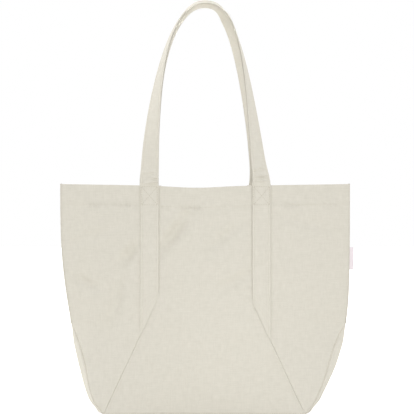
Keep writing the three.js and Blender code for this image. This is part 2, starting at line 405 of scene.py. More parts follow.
        along = at(t + self.slope_share, z) - at(t - self.slope_share, z)
        up = at(t, z + self.slope_step) - at(t, z - self.slope_step)
        points = at(t, z) + unit(np.cross(along, up)) * out[..., None]
        return points * together(side, -float(face), 1.0)

    def face_point(self, x: Array, z: Array, face: Face, out: Array) -> Array:
        """Points of a face at signed distance x from the middle."""
        side = sign_of(x)
        return self.point(np.abs(x) / self.face_end(z, side), z, side, face, out)


@dataclass(frozen=True)
class SoftFold:
    """A soft ridge, or a hollow if its height is negative, in the cloth of one face."""

    x: float
    z: float
    slant: float  # degrees from level
    length: float
    width: float
    height: float

    def at(self, x: Array, z: Array) -> Array:
        """Height of the fold at places on the face."""
        turn = math.radians(self.slant)
        along = (x - self.x) * math.cos(turn) + (z - self.z) * math.sin(turn)
        across = (z - self.z) * math.cos(turn) - (x - self.x) * math.sin(turn)
        return self.height * bell(along, self.length / 2) * bell(across, self.width)


@dataclass(frozen=True)
class Slack:
    """How the cloth leaves the smooth shape: broad waves, soft folds, and puckers beside stitched seams."""

    shape: BagShape
    folds: tuple[SoftFold, ...]
    wave_height: float = 0.35 * MM
    wave_lengths: tuple[float, ...] = (190 * MM, 130 * MM, 90 * MM, 61 * MM)
    wave_slants: tuple[float, ...] = (24.0, 81.0, 137.0, 52.0)  # degrees from level
    wave_phase: float = 1.7  # radians from each wave to the next
    face_phase: float = 0.6  # radians from the bag's middle plane to a face
    hem_line: float = 34 * MM  # from the rim down to the hem's stitching
    pucker_height: float = 1.05 * MM
    pucker_length: float = 9 * MM
    pucker_reach: float = 6 * MM
    pucker_lapse: float = 31 * MM  # length over which the puckers come and go
    pucker_stray: float = 23 * MM  # length over which their spacing varies
    pucker_slant: float = 0.7  # how far they lean along the hem for each metre down
    hem_stray: float = 2.0  # radians by which the hem's puckers leave their even spacing
    seam_stray: float = 1.5  # the same for the puckers beside the panel seams
    lapse_phase: float = 0.9  # radians from the bag's middle plane to a face
    lapse_beat: float = 2.4  # how much quicker the second of the two waves of coming and going is
    loose_middle: float = 0.5  # share of their height about which the puckers come and go
    loose_swing: float = 0.8
    seam_share: float = 0.2  # height of the puckers beside the panel seams, as a share of the hem's
    groove: float = 1.1 * MM
    groove_width: float = 1.6 * MM
    planted: float = 35 * MM  # height over which the cloth comes away from the straight edge of the base
    pinned: float = 26 * MM  # width over which it comes away from the straight side seam

    def freedom(self, x: Array, z: Array) -> Array:
        """0 where the cloth is held straight by the base or a side seam, 1 where it hangs free."""
        room = self.shape.face_end(z, sign_of(x)) + self.shape.crease_depth(z) - np.abs(x)
        return smoothstep(z / self.planted) * smoothstep(room / self.pinned)

    def broad(self, x: Array, z: Array, face: Face) -> Array:
        """Height of the broad waves and soft folds out of the smooth shape.

        Args:
            x: signed distance from the middle, measured round the bag.
            z: height.
            face: front or back.

        Returns:
            Heights in metres.
        """
        total = np.zeros(np.broadcast(x, z).shape)
        for number, (length, slant) in enumerate(zip(self.wave_lengths, self.wave_slants)):
            turn = math.radians(slant)
            place = (x * math.cos(turn) + z * math.sin(turn)) / length
            phase = self.wave_phase * number + self.face_phase * face
            total = total + self.wave_height * np.sin(2.0 * np.pi * place + phase)
        for fold in self.folds:
            total = total + fold.at(x, z)
        return total * self.freedom(x, z)

    def ripple(self, run: Array, place: Array, stray: float) -> Array:
        """Puckers along a seam, from -1 to 1, with a spacing that strays from place to place."""
        return np.sin(2.0 * np.pi * run / self.pucker_length + stray * np.sin(place / self.pucker_stray))

    def relief(self, x: Array, z: Array, face: Face) -> Array:
        """Height of the puckers beside the hem's and the panels' stitching, and of the hem's groove."""
        below = z - (self.shape.rim(x) - self.hem_line)
        lapse = x / self.pucker_lapse
        swing = np.sin(lapse + self.lapse_phase * face) * np.sin(self.lapse_beat * lapse)
        loose = smoothstep(self.loose_middle + self.loose_swing * swing)
        ripple = self.ripple(x + self.pucker_slant * below, x, self.hem_stray)
        hem = self.pucker_height * loose * ripple * bell(below, self.pucker_reach)
        hem = hem - self.groove * loose * bell(below, self.groove_width)
        beside = (np.abs(x) - self.shape.seam_x(z)) / self.shape.diagonal_lean
        ripple = self.ripple(z, z, self.seam_stray)
        seam = self.seam_share * self.pucker_height * ripple * bell(beside, self.pucker_reach)
        return (hem + seam) * self.freedom(x, z)

    def at(self, x: Array, z: Array, face: Face) -> Array:
        """Height of the cloth out of the smooth shape."""
        return self.broad(x, z, face) + self.relief(x, z, face)


# Finishes


def set_inputs(tree: Tree, node: bpy.types.Node, inputs: dict) -> None:
    """Gives each of a node's inputs, by name or number, a value or a link from a socket."""
    for name, value in inputs.items():
        if isinstance(value, Socket):
            tree.links.new(value, node.inputs[name])
        else:
            node.inputs[name].default_value = value


def add_node(tree: Tree, kind: str, inputs: dict, **settings: object) -> bpy.types.Node:
    """Adds a shader node, with values or links for its sockets.

    Args:
        tree: node tree that gets the node.
        kind: Blender's name of the node type.
        inputs: value, or socket to link from, for each input by name or number.
        settings: attributes of the node.

    Returns:
        The new node.
    """
    node = tree.nodes.new(kind)
    for name, value in settings.items():
        setattr(node, name, value)
    set_inputs(tree, node, inputs)
    return node


def math_node(tree: Tree, operation: str, *values: float | Socket) -> Socket:
    """The result of a math node on values or sockets."""
    return add_node(tree, "ShaderNodeMath", dict(enumerate(values)), operation=operation).outputs[0]


def sine_along(tree: Tree, place: Socket, length: float) -> Socket:
    """A sine wave of a length in metres along a socket's places."""
    return math_node(tree, "SINE", math_node(tree, "MULTIPLY", place, 2.0 * math.pi / length))


def cloth_place(tree: Tree) -> Socket:
    """The place on the flat cloth, from a piece's own UV map."""
    return add_node(tree, "ShaderNodeUVMap", {}, uv_map=CLOTH_MAP).outputs[0]


def new_material(name: str) -> tuple[Material, Tree, bpy.types.Node]:
    """Makes a material with a plain principled shader.

    Returns:
        The material, its node tree and the shader node.
    """
    material = bpy.data.materials.new(name)
    material.use_nodes = True
    return material, material.node_tree, material.node_tree.nodes["Principled BSDF"]


@dataclass(frozen=True)
class Finish(ABC):
    """A material whose colour drifts between a deep and a pale one."""

    name: str
    deep: str
    pale: str
    roughness: float

    @abstractmethod
    def pattern(self, tree: Tree) -> tuple[Socket, dict]:
        """Share of the pale colour, and what else the shader gets."""

    def build(self) -> Material:
        """Builds the material."""
        material, tree, shader = new_material(self.name)
        share, further = self.pattern(tree)
        ends = {0: share, 6: linear_colour(self.deep), 7: linear_colour(self.pale)}
        colour = add_node(tree, "ShaderNodeMix", ends, data_type="RGBA").outputs[2]
        set_inputs(tree, shader, {"Base Color": colour, "Roughness": self.roughness, **further})
        return material


@dataclass(frozen=True)
class CanvasFinish(Finish):
    """Natural cotton canvas: dry and matt, with slubs as faint streaks both ways and a fine plain weave."""

    name: str = "natural cotton canvas"
    deep: str = "#d7d3c7"
    pale: str = "#e3dfd4"
    roughness: float = 0.95
    sheen: float = 0.08
    specular: float = 0.2
    slub_width: float = 1.8 * MM  # coarsened about twice, so that it shows at the photo's scale
    slub_length: float = 17 * MM
    mottle: float = 9 * MM
    thread_pitch: float = 1.5 * MM  # coarsened from about 0.9 mm for the same reason
    weave_height: float = 0.12 * MM
    weave_strength: float = 0.45
    weave_share: float = 0.5  # height of the weave beside that of the slubs
    streak_shift: float = 3.1  # between the places of the three noises
    streak_detail: float = 2.0
    streak_low: float = 0.9  # sum of the three noises that gives the deep colour
    streak_high: float = 2.1  # sum that gives the pale one

    def pattern(self, tree: Tree) -> tuple[Socket, dict]:
        """Streaks and a bumpy weave on the cloth's own UV map."""
        cloth = cloth_place(tree)
        thin, long, patch = 1.0 / self.slub_width, 1.0 / self.slub_length, 1.0 / self.mottle
        streaks: list[Socket] = []
        for number, (across, up) in enumerate(((thin, long), (long, thin), (patch, patch))):
            place = {0: cloth, 1: (self.streak_shift * number, 0.0, 0.0), 3: (across, up, 1.0)}
            mapped = add_node(tree, "ShaderNodeMapping", place).outputs[0]
            look = {0: mapped, "Scale": 1.0, "Detail": self.streak_detail}
            streaks.append(add_node(tree, "ShaderNodeTexNoise", look).outputs[0])
        summed = math_node(tree, "ADD", math_node(tree, "ADD", *streaks[:2]), streaks[2])
        limits = {0: summed, 1: self.streak_low, 2: self.streak_high}
        share = add_node(tree, "ShaderNodeMapRange", limits).outputs[0]
        height = self.weave(tree, cloth, summed)
        bump = {"Height": height, "Strength": self.weave_strength, "Distance": self.weave_height}
        normal = add_node(tree, "ShaderNodeBump", bump).outputs[0]
        return share, {"Normal": normal, "Sheen Weight": self.sheen, "Specular IOR Level": self.specular}

    def weave(self, tree: Tree, cloth: Socket, streaks: Socket) -> Socket:
        """Height of the plain weave: a sine across times a sine up the cloth, with the slubs on top."""
        split = add_node(tree, "ShaderNodeSeparateXYZ", {0: cloth})
        waves = [sine_along(tree, split.outputs[axis], self.thread_pitch) for axis in (0, 1)]
        return math_node(tree, "MULTIPLY_ADD", math_node(tree, "MULTIPLY", *waves), self.weave_share, streaks)


@dataclass(frozen=True)
class ThreadFinish(Finish):
    """Spun cotton sewing thread: a touch deeper than the cloth, and a little less dry."""

    name: str = "cotton sewing thread"
    deep: str = "#d5d0c2"
    pale: str = "#e0dbce"
    roughness: float = 0.75
    patch: float = 6 * MM
    patch_detail: float = 1.0

    def pattern(self, tree: Tree) -> tuple[Socket, dict]:
        """A drift along the thread."""
        place = add_node(tree, "ShaderNodeTexCoord", {}).outputs["Object"]
        look = {0: place, "Scale": 1.0 / self.patch, "Detail": self.patch_detail}
        return add_node(tree, "ShaderNodeTexNoise", look).outputs[0], {}


@dataclass(frozen=True)
class SatinFinish(Finish):
    """Woven satin ribbon: smooth and pinkish white, with fine lines across that catch a soft gleam."""

    name: str = "woven satin ribbon"
    deep: str = "#eadfe4"
    pale: str = "#f4ecf0"
    roughness: float = 0.45
    line: float = 0.8 * MM

    def pattern(self, tree: Tree) -> tuple[Socket, dict]:
        """Fine lines on the ribbon's own UV map."""
        split = add_node(tree, "ShaderNodeSeparateXYZ", {0: cloth_place(tree)})
        wave = sine_along(tree, split.outputs[1], self.line)
        return add_node(tree, "ShaderNodeMapRange", {0: wave, 1: -1.0, 2: 1.0}).outputs[0], {}


@dataclass(frozen=True)
class Finishes:
    """The materials that the bag is dressed with."""

    canvas: Material
    strap: Material
    thread: Material
    box_thread: Material
    satin: Material


# Cloth panels


@dataclass(frozen=True)
class TurnedEdge:
    """An edge of cloth turned under in a half-round fold, with a flap behind it."""

    radius: float
    flap: float
    flap_steps: int = 3
    fold_steps: int = 6

    @property
    def faces(self) -> int:
        """Faces across the flap and the fold."""
        return self.flap_steps + self.fold_steps

    @property
    def hidden(self) -> int:
        """Faces across the flap and the back half of the fold."""
        return self.flap_steps + self.fold_steps // 2

    def lines(self) -> tuple[Array, Array]:
        """Lines along the edge, from the end of the flap to where the cloth's flat face starts.

        Returns:
            How far each line lies past the face's start, away from the edge, and how deep behind the face.
        """
        flap = np.linspace(self.flap - self.radius, 0.0, self.flap_steps, endpoint=False)
        angle = np.linspace(np.pi, 0.0, self.fold_steps + 1)
        shift = np.concatenate((flap, -self.radius * np.sin(angle)))
        sink = np.concatenate((np.full(flap.shape, 2.0 * self.radius), self.radius * (1.0 - np.cos(angle))))
        return shift, sink


def between_edges(first: TurnedEdge, last: TurnedEdge, count: int) -> tuple[Array, Array, Array]:
    """Lines across cloth with a turned edge at both ends.

    Args:
        first: edge at the start.
        last: edge at the end.
        count: number of lines across the flat face.

    Returns:
        Share of the way across, shift along it and depth behind the face of each line.
    """
    low_shift, low_sink = first.lines()
    high_shift, high_sink = last.lines()
    inner = np.linspace(0.0, 1.0, count)[1:-1]
    zeros = np.zeros(inner.shape)
    share = np.concatenate((np.zeros(low_shift.shape), inner, np.ones(high_shift.shape)))
    shift = np.concatenate((low_shift, zeros, -high_shift[::-1]))
    sink = np.concatenate((low_sink, zeros, high_sink[::-1]))
    return share, shift, sink


@dataclass
class ClothGrid:
    """Places of a panel's points, in rows up the panel."""

    t: Array  # along the level section
    side: Array
    girth: Array  # signed distance from the middle, measured round the bag
    z: Array
    sink: Array  # depth behind the face
    kept: Array  # which faces of the grid are cloth


@dataclass
class ClothPanel(ABC):
    """A wall panel of canvas, with turned seam edges, a turned foot and its own length of hem."""

    shape: BagShape
    slack: Slack
    face: Face
    side: Side = Side.RIGHT  # that the columns run towards
    seam: TurnedEdge = TurnedEdge(radius=1.2 * MM, flap=9 * MM)
    hem: TurnedEdge = TurnedEdge(radius=1.1 * MM, flap=36 * MM, flap_steps=9)
    toe: TurnedEdge = TurnedEdge(radius=1.05 * MM, flap=9 * MM)
    foot: float = 0.7 * MM  # height of the walls' turned foot above the floor
    spacing: float = 2.6 * MM

    @property
    @abstractmethod
    def nodes(self) -> tuple[str, ...]:
        """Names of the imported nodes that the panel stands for, the panel's own first."""

    @property
    def handed(self) -> int:
        """1 where columns crossed with rows face outward, otherwise -1."""
        return -int(self.face) * int(self.side)

    @property
    @abstractmethod
    def flat(self) -> tuple[float, float]:
        """Width and length of the rectangle that the panel is cut from."""

    @abstractmethod
    def grid(self) -> ClothGrid:
        """Places of the panel's points, from the flap at its foot to the end of its hem."""

    @property
    def cut_length(self) -> float:
        """Length of the cut cloth, with the flap at its foot and its hem."""
        return self.shape.height + self.seam.flap + self.hem.flap

    def heights(self, reach: Array) -> tuple[Array, Array]:
        """Rows of the panel.

        Args:
            reach: distance of each column from the middle at the rim.

        Returns:
            Height of each point, and each row's depth behind the face.
        """
        share, shift, sink = between_edges(self.toe, self.hem, round(self.shape.height / self.spacing))
        low = self.foot + self.toe.radius
        high = self.shape.rim(reach) - self.hem.radius
        return lerp(low, high[None, :], share[:, None]) + shift[:, None], sink[:, None]

    def seam_lean(self, z: Array) -> Array:
        """Level length that one metre across the panel seam takes up at a height."""
        return np.where(z < self.shape.strap_seam_height, self.shape.diagonal_lean, 1.0)

    def clipped(self, z: Array) -> Array:
        """Which faces of a grid are cloth: all but the corner where the foot's and the seam's flaps meet."""
        kept = np.ones((z.shape[0] - 1, z.shape[1] - 1), dtype=bool)
        kept[: self.toe.faces, : self.seam.hidden] = False
        kept[: self.toe.hidden, : self.seam.faces] = False
        return kept

    def build(self, finishes: Finishes) -> None:
        """Makes the panel and dresses it."""
        grid = self.grid()
        out = self.slack.at(grid.girth, grid.z, self.face) - grid.sink
        points = self.shape.point(grid.t, grid.z, grid.side, self.face, out).reshape(-1, 3)
        points[:, 2] = np.maximum(points[:, 2], self.foot)
        quads = grid_quads(*grid.z.shape)[grid.kept.ravel()][:, :: self.handed]
        name = self.nodes[0].replace("panel", "cloth")
        obj = make_object(name, points, [quads], together(grid.girth, grid.z))
        thicken(obj, self.shape.canvas)
        dress(obj, finishes.canvas)
        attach(obj, "bag")
        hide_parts(*self.nodes)
        self.flat


@dataclass
class CentrePanel(ClothPanel):
    """Panel between the straps, which widens below them to the corners of the base."""

    @property
    def nodes(self) -> tuple[str, ...]:
        """The centre panel, and the hem that is turned from all three panels of its face."""
        return f"{self.face.word}_centre_panel", f"{self.face.word}_hem"

    @property
    def flat(self) -> tuple[float, float]:
        """As wide as from foot to foot of the diagonal seams, with a seam flap at each end."""
        return 2 * (self.shape.diagonal_foot + self.seam.flap), self.cut_length

    def grid(self) -> ClothGrid:
        """Columns run straight from seam to seam, and both edges are turned under."""
        count = round(2 * self.shape.seam_top / self.spacing)
        share, shift, sink = between_edges(self.seam, self.seam, count)
        across = lerp(-1.0, 1.0, share)
        z, row_sink = self.heights(across * (self.shape.seam_top - self.seam.radius) + shift)
        lean = self.seam_lean(z)
        x = across * (self.shape.seam_x(z) - self.seam.radius * lean) + shift * lean
        side = sign_of(x)
        t = np.abs(x) / self.shape.face_end(z, side)
        kept = self.clipped(z)
        return ClothGrid(t, side, x, z, row_sink + sink, kept & kept[:, ::-1])


@dataclass
class SidePanel(ClothPanel):
    """Panel from the strap's inner edge round to the side seam, with half of the side gusset."""

    crease_steps: int = 12
    gusset_steps: int = 14
    fold_steps: int = 3
    hem_room: float = 6.5 * MM  # where the hem stops short of the side seam
    least_face: float = 0.6 * MM  # width left to the face at the base's corner
    crease_groove: float = 2.0 * MM  # depth of the pressed line between the face and the gusset
    crease_middle: float = 1.4  # its place along the level section
    crease_spread: float = 0.25

    @property
    def nodes(self) -> tuple[str, ...]:
        """The side panel's own node."""
        return (f"{self.face.word}_{self.side.word}_panel",)

    @property
    def flat(self) -> tuple[float, float]:
        """As wide as the rim from the strap to the side seam, with a flap at each end."""
        return self.shape.mouth_width / 2 - self.shape.seam_top + 2 * self.seam.flap, self.cut_length

    def grid(self) -> ClothGrid:
        """Columns run from the strap across the face, round the crease and gusset and into the side seam."""
        shape = self.shape
        shift, sink = self.seam.lines()
        rim_half = shape.mouth_width / 2
        count = round((rim_half - shape.seam_top) / self.spacing)
        face_share = np.concatenate((np.zeros(shift.shape), np.linspace(0.0, 1.0, count)[1:]))
        beyond = section_places((self.crease_steps, self.gusset_steps, self.fold_steps, self.fold_steps))
        share = np.concatenate((face_share, np.ones(beyond.shape)))
        beyond = np.concatenate((np.zeros(face_share.shape), beyond))
        spare = np.zeros(len(share) - len(shift))
        shifts = np.concatenate((shift, spare))
        sinks = np.concatenate((sink, spare))
        reach = lerp(shape.seam_top + self.seam.radius, rim_half, share) + shifts
        z, row_sink = self.heights(self.side * reach)
        lean = self.seam_lean(z)
        end = shape.face_end(z, float(self.side))
        start = np.minimum(shape.seam_x(z) + self.seam.radius * lean, end - self.least_face)
        x = lerp(start, end, share) + shifts * lean
        girth = self.side * (x + shape.crease_depth(z) * np.clip(beyond / 2.0, 0.0, 1.0))
        kept = self.clipped(z)
        kept[: self.toe.faces, -2 * self.fold_steps :] = False  # the fold of the side seam and its allowance
        kept[-self.hem.hidden :, reach[1:] > rim_half - self.hem_room] = False
        t = x / end + beyond
        sharp = shape.crease_round(z) / shape.crease_radius
        pressed = self.crease_groove * sharp * bell(t - self.crease_middle, self.crease_spread)
        return ClothGrid(t, np.full(z.shape, float(self.side)), girth, z, row_sink + sinks + pressed, kept)


@dataclass
class BasePanel:
    """Flat base, with its border turned up inside the foot of the walls, where it is sewn to them."""

    shape: BagShape
    bend: float = 1.1 * MM
    flap: float = 9 * MM
    seat: float = 2.4 * MM  # room for the walls' own turned edges
    face_steps: int = 45
    crease_steps: int = 6
    gusset_steps: int = 10
    bend_steps: int = 4
    flat_steps: int = 14
    middle_share: float = 0.04  # size of the last ring, in the base's middle, beside that of the border

    def border(self, height: float) -> Array:
        """The walls' outline at a height, followed anticlockwise seen from above.

        Returns:
            One x and y for each point.
        """
        t = section_places((self.face_steps, self.crease_steps, self.gusset_steps))
        left, right = (together(*self.shape.outline(t, height, float(side))) for side in Side)
        quarters = (right * (1, -1), right[::-1], left * (-1, 1), left[::-1] * (-1, -1))
        return np.concatenate(quarters)

    def profile(self) -> tuple[Array, Array]:
        """Section of the border: down the flap inside the walls and round a small bend onto the floor.

        Returns:
            How far in from the border each line lies, and its height.
        """
        quarter = np.linspace(0.0, np.pi / 2, self.bend_steps + 1)
        inset = self.seat + np.concatenate(([0.0, 0.0], self.bend * (1.0 - np.cos(quarter))))
        height = np.concatenate(([self.flap, self.flap / 2], self.bend * (1.0 - np.sin(quarter))))
        return inset, height

    def build(self, finishes: Finishes) -> None:
        """Makes the base and dresses it."""
        inset, height = self.profile()
        border = np.stack([self.border(level) for level in height])
        rings = border * (1.0 - inset[:, None, None] / np.abs(border).max(axis=1, keepdims=True))
        shrink = np.linspace(1.0, self.middle_share, self.flat_steps + 1)[1:]
        plan = np.concatenate((rings, rings[-1][None] * shrink[:, None, None]))
        heights = np.concatenate((height, np.zeros(self.flat_steps)))
        rows, columns = plan.shape[:2]
        points = together(plan[..., 0], plan[..., 1], heights[:, None])
        quads = grid_quads(rows, columns, closed=True)[:, ::-1]
        middle = np.arange((rows - 1) * columns, rows * columns)[None, ::-1]
        obj = make_object("base_cloth", points, [quads, middle], plan)
        thicken(obj, self.shape.canvas)
        dress(obj, finishes.canvas)
        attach(obj, "bag")
        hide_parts("base_panel")


# Handles


@dataclass(frozen=True)
class StrapCrease:
    """A short roll of cloth across a strap just above the rim, over a crease, which fades out above it."""

    side: Side
    height: float  # of the crease above the rim
    place: float  # across the strap from its middle
    slope: float
    length: float
    depth: float
    width: float = 1.1 * MM
    fade: float = 5 * MM

    def at(self, b: Array, height: Array, side: Array) -> Array:
        """Height of the roll at places across and up the leg of a side."""
        along = bell(b - self.place, self.length / 2)
        above = height - self.height - self.width - self.slope * (b - self.place)
        across = bell(above, np.where(above < 0.0, self.width, self.fade))
        return np.where(side == self.side, self.depth * along * across, 0.0)


@dataclass(frozen=True)
class LegForm:
    """How one leg of a free loop turns and bows on its way from the rim to the top."""

    foot_twist: float  # degrees from facing straight out of the bag
    twist: float  # degrees on the way to the top
    ease: float  # more turns the leg sooner
    bow: float  # sideways
    bow_power: float = 1.0  # more moves the bow towards the top

    def twist_at(self, rise: Array) -> Array:
        """The leg's turn at a share of the rise, in radians."""
        return np.radians(lerp(self.twist, self.foot_twist, np.clip(1.0 - rise, 0.0, 1.0) ** self.ease))

    def bow_at(self, rise: Array) -> Array:
        """The leg's sideways bow at a share of the rise."""
        return self.bow * np.sin(np.pi * rise**self.bow_power)


@dataclass
class Handle:
    """One strap of canvas folded in four: two legs sewn to the bag, and the free loop between them."""

    shape: BagShape
    slack: Slack
    face: Face
    left: LegForm
    right: LegForm
    top_twist: float  # degrees from facing straight out of the bag, at the very top
    thickness: float = 2.6 * MM
    seat: float = 0.25 * MM  # room under a sewn leg
    shift: float = 0.0  # sideways, of the whole strap
    rise: float = 313.5 * MM  # of the loop's middle line above the rim
    top_depth: float = 18.5 * MM  # from the bag's middle plane to the middle line at the top
    arch_power: float = 1.43
    arch_shoulder: float = 0.8
    lean_ease: float = 0.7
    crown: float = 0.09  # share of the rise over which the legs run together at the top
    top_shift: float = 0.0  # sideways, of the top
    settle: float = 46 * MM  # height over which the loop leaves the line of its sewn legs
    stitch_inset: float = 4 * MM
    pinch: float = 0.3 * MM  # how deep the edge stitching pulls the strap in
    pinch_width: float = 1.3 * MM
    slit: float = 2.2 * MM  # depth between the two folds that meet along one edge
    fullness: float = 0.08  # extra thickness along the strap's middle
    level_room: float = 18 * MM  # over which a leg thins out into the diagonal seam
    foot_share: float = 0.06  # share of the thickness left in that seam
    sewn_share: float = 0.75  # share of the thickness that the stitching leaves to a sewn leg
    spring: float = 45 * MM  # below the rim, over which the leg comes back to its full thickness
    tuck: float = 1.6 * MM  # how far a leg's end goes into the groove of the diagonal seam
    hinge_depth: float = 44.7 * MM  # from the bag's middle plane to where the loop bends
    bend_room: float = 22 * MM  # height above the rim over which it bends
    creases: tuple[StrapCrease, ...] = ()
    step: float = 1.0 * MM
    foot_rows: int = 30
    trace: int = 4001  # points that the loop's middle line is first traced with
    flat_points: int = 5  # from the strap's middle to beside a row of stitching
    flat_room: float = 3 * MM  # what they leave free beside the row
    near_points: int = 2  # on each side of the row
    near_step: float = 0.9 * MM
    edge_points: int = 5  # round each edge

    @property
    def half(self) -> float:
        """Half the strap's width."""
        return self.shape.strap_width / 2

    @property
    def stitch_line(self) -> float:
        """Distance of the edge stitching from the strap's middle."""
        return self.half - self.stitch_inset

    @property
    def top(self) -> float:
        """Height where the legs leave the rim."""
        return float(self.shape.rim(np.array(self.shape.strap_spacing / 2)))

    def swell(self, b: Array) -> Array:
        """Half thickness at distance b from the strap's middle, where it is full; stitching pinches it in."""
        full = self.thickness / 2 * (1.0 + self.fullness * (1.0 - (b / self.half) ** 2))
        return full - self.pinch * bell(np.abs(b) - self.stitch_line, self.pinch_width)

    def pressed(self, z: Array) -> Array:
        """Share of its thickness that a sewn leg keeps at a height."""
        return lerp(self.sewn_share, 1.0, smoothstep(1.0 - (self.top - z) / self.spring))

    def section(self) -> tuple[Array, Array]:
        """Outline across the strap: outer face, inward edge where two folds meet, inner face, outward fold.

        Returns:
            Distance from the strap's middle and height above it for each point.
        """
        bend = self.thickness / 2
        edge = self.half - bend
        near = self.stitch_line + np.arange(-self.near_points, self.near_points + 1) * self.near_step
        flat = np.linspace(0.0, self.stitch_line - self.flat_room, self.flat_points)
        half_row = np.concatenate((flat, near))
        row = np.concatenate((-half_row[:0:-1], half_row))
        angle = np.linspace(np.pi / 2, -np.pi / 2, self.edge_points + 2)[1:-1]
        meeting = np.stack((edge + bend * np.cos(angle), bend * np.sin(angle)))
        meeting[0, len(angle) // 2 + 1] -= self.slit  # nearer the inner face
        folded = np.stack((-edge - bend * np.cos(angle), -bend * np.sin(angle)))
        outer = np.stack((row, self.swell(row)))
        inner = np.stack((row[::-1], -self.swell(row)))
        ring = np.concatenate((outer, meeting, inner, folded), axis=1)
        return ring[0], ring[1]

    def leg_x(self, side: Side, b: Array) -> Array:
        """Place along x of distances b from the middle of a sewn leg."""
        return side * (self.shape.strap_spacing / 2 - b) + self.shift

    def leg(self, side: Side, b: Array, h: Array) -> Array:
        """A sewn leg from the diagonal seam up to the rim.

        Args:
            side: left or right leg.
            b: distances from the strap's middle.
            h: heights above the strap's middle.

        Returns:
            Points in rows up the leg, for each b and h.
        """
        shape = self.shape
        x = self.leg_x(side, b)
        foot = shape.diagonal_height(np.abs(x)) - self.tuck
        level = shape.strap_seam_height + self.level_room
        high = np.linspace(level, self.top, round((self.top - level) / self.step))
        low = np.linspace(0.0, 1.0, self.foot_rows, endpoint=False)
        z = np.concatenate((lerp(foot[None], level, low[:, None]), np.repeat(high[:, None], len(b), axis=1)))
        thin = self.pressed(z) * lerp(self.foot_share, 1.0, smoothstep((z - foot) / self.level_room))
        out = self.slack.broad(x, z, self.face) + self.seat + (h + self.thickness / 2) * thin
        return shape.face_point(np.broadcast_to(x, z.shape), z, self.face, out)

    def middle_line(self) -> tuple[Array, Array]:
        """Middle line of the free loop, on the front.

        Across, it is minus the half spacing times the cosine of an angle, and up, the rise times its sine,
        each to a power of its own. It leans back from the rim to the top, and each leg may bow sideways.

        Returns:
            Evenly spaced points from the left foot to the right one, and the share of the rise at each.
        """
        left, right = (self.leg(side, np.zeros(1), np.zeros(1))[-1, 0] for side in Side)
        root = np.abs(right[0] - left[0]) / 2
        depth = np.abs(right[1])
        angle = np.linspace(0.0, np.pi, self.trace)
        rise = np.clip(np.sin(angle), 0.0, 1.0) ** self.arch_power
        turn = np.cos(angle)
        x = -root * np.sign(turn) * np.abs(turn) ** self.arch_shoulder
        bow = np.where(x < 0.0, self.left.bow_at(rise), self.right.bow_at(rise))
        x = x + bow + self.shift + self.top_shift * rise**2
        y = lerp(-depth, -self.top_depth, rise**self.lean_ease)
        line = together(x, y, self.top + self.rise * rise)
        run = run_along(line)
        even = np.linspace(0.0, run[-1], round(run[-1] / self.step))[1:-1]
        return along_line(even, run, line), np.interp(even, run, rise)

    def loop(self, b: Array, h: Array) -> Array:
        """The free loop from the left foot over the top to the right foot.

        Args:
            b: distances from the strap's middle.
            h: heights above the strap's middle, on its outer side.

        Returns:
            Points in rows along the loop, for each b and h.
        """
        line, rise = self.middle_line()
        on_left = line[:, 0] < 0.0
        mirror = (1.0, -float(self.face), 1.0)
        along = unit(np.gradient(line, axis=0))
        outside = unit(together(-along[:, 2], 0.0, along[:, 0]))
        legs = np.where(on_left, self.left.twist_at(rise), self.right.twist_at(rise))
        twist = lerp(math.radians(self.top_twist), legs, smoothstep((1.0 - rise) / self.crown))
        facing = together(0.0, -np.cos(twist), 0.0) + outside * np.sin(twist)[:, None]
        across = unit(np.cross(along, facing))
        normal = np.cross(across, along)
        height = np.repeat(self.rise * rise[:, None], len(b), axis=1)
        leg = np.where(on_left, Side.LEFT, Side.RIGHT)[:, None]
        roll = sum((crease.at(b, height, leg) for crease in self.creases), np.zeros(height.shape))
        rolled = normal[:, None] * roll[..., None]
        free = line[:, None] + across[:, None] * b[:, None] + normal[:, None] * h[:, None] + rolled
        left, right = (self.leg(side, b, h)[-1] for side in Side)
        held = np.where(on_left[:, None, None], left[None], right[None])
        held = held + height[..., None] * (0.0, 0.0, 1.0) + rolled * mirror
        left_over = np.clip(1.0 - height / self.settle, 0.0, 1.0)[..., None]
        return lerp(held, free * mirror, 1.0 - left_over**2)

    def place(self, b: Array, h: Array) -> Array:
        """The whole strap, up the left leg, along the loop and down the right leg."""
        return np.concatenate((self.leg(Side.LEFT, b, h), self.loop(b, h), self.leg(Side.RIGHT, b, h)[::-1]))

    def bend(self, obj: Object) -> None:
        """Bakes a piece of the strap's transform into its mesh."""
        y = float(self.face) * self.hinge_depth
        loop = f"{self.face.word}_handle"
        self.top
        self.top + self.bend_room
        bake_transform(obj)

    def build(self, finishes: Finishes) -> None:
        """Makes the strap and dresses it."""
        word = self.face.word
        b, h = self.section()
        points = self.place(b, h)
        rows, columns = points.shape[:2]
        quads = grid_quads(rows, columns, closed=True)
        ends = np.stack((np.arange(columns)[::-1], np.arange(columns) + (rows - 1) * columns))
        turn = -int(self.face)
        run = run_along(self.place(np.zeros(1), np.zeros(1))[:, 0])
        wrap = np.where(h < 0.0, 2 * self.shape.strap_width - b, b)
        faces = [quads[:, ::turn], ends[:, ::turn]]
        obj = make_object(f"{word}_strap_cloth", points, faces, together(wrap, run[:, None]))
        dress(obj, finishes.strap)
        self.bend(obj)
        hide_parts(f"{word}_left_strap", f"{word}_right_strap", f"{word}_handle")


# Stitches


